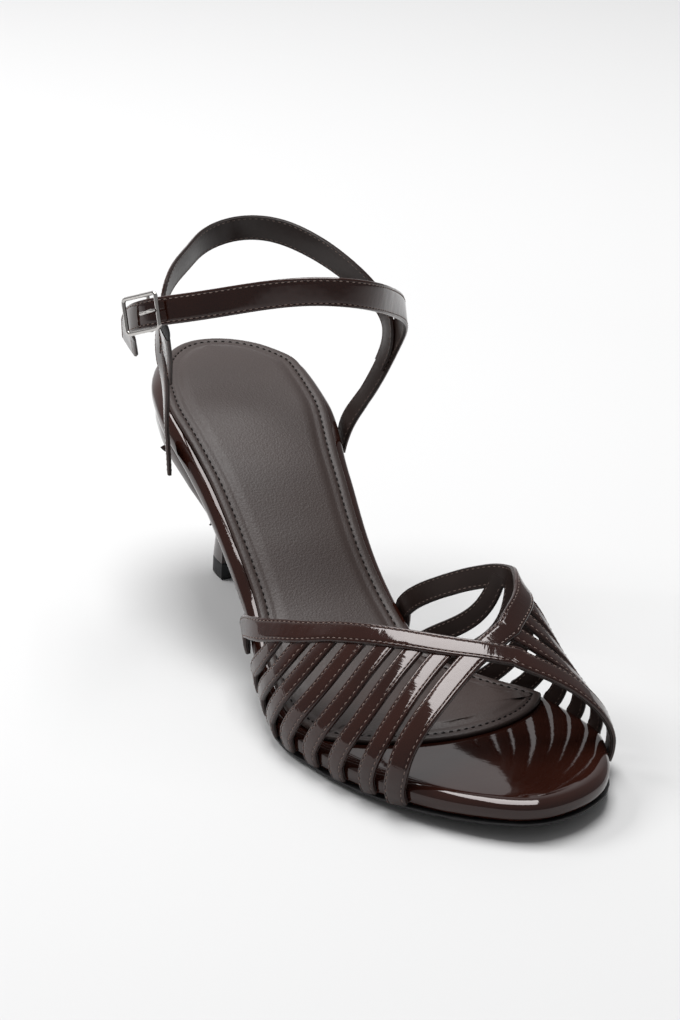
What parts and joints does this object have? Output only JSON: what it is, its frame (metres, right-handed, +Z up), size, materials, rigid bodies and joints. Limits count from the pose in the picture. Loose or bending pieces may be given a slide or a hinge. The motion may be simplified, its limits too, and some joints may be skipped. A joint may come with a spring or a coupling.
{
  "type": "strappy heeled sandal",
  "caption": "Right sandal with a slim mid heel, a covered platform, crossing vamp bands over narrow straps and a buckled ankle strap.",
  "frame": {"origin": "on the flat underside of the heel tip, at the floor, on the sole's long axis", "axes": "+Y from toe to heel along the sole, +X to the inner (medial) side, +Z up"},
  "size_m": [0.0988, 0.2311, 0.1272],
  "materials": {
    "patent": "patent gloss",
    "heel_cover": "satin",
    "lining": "matte",
    "outsole": "matte",
    "tip": "matte",
    "metal": "polished",
    "elastic": "ribbed"
  },
  "bodies": {
    "root": {"outsole": "outsole", "insole_board": "patent", "seat_rand": "patent", "sock_lining": "lining", "heel": "heel_cover", "heel_tip": "tip", "vamp": "patent", "ankle_sling": "patent", "buckle_frame": "metal", "buckle_prong": "metal", "elastic_tab": "elastic"}
  },
  "joints": []
}
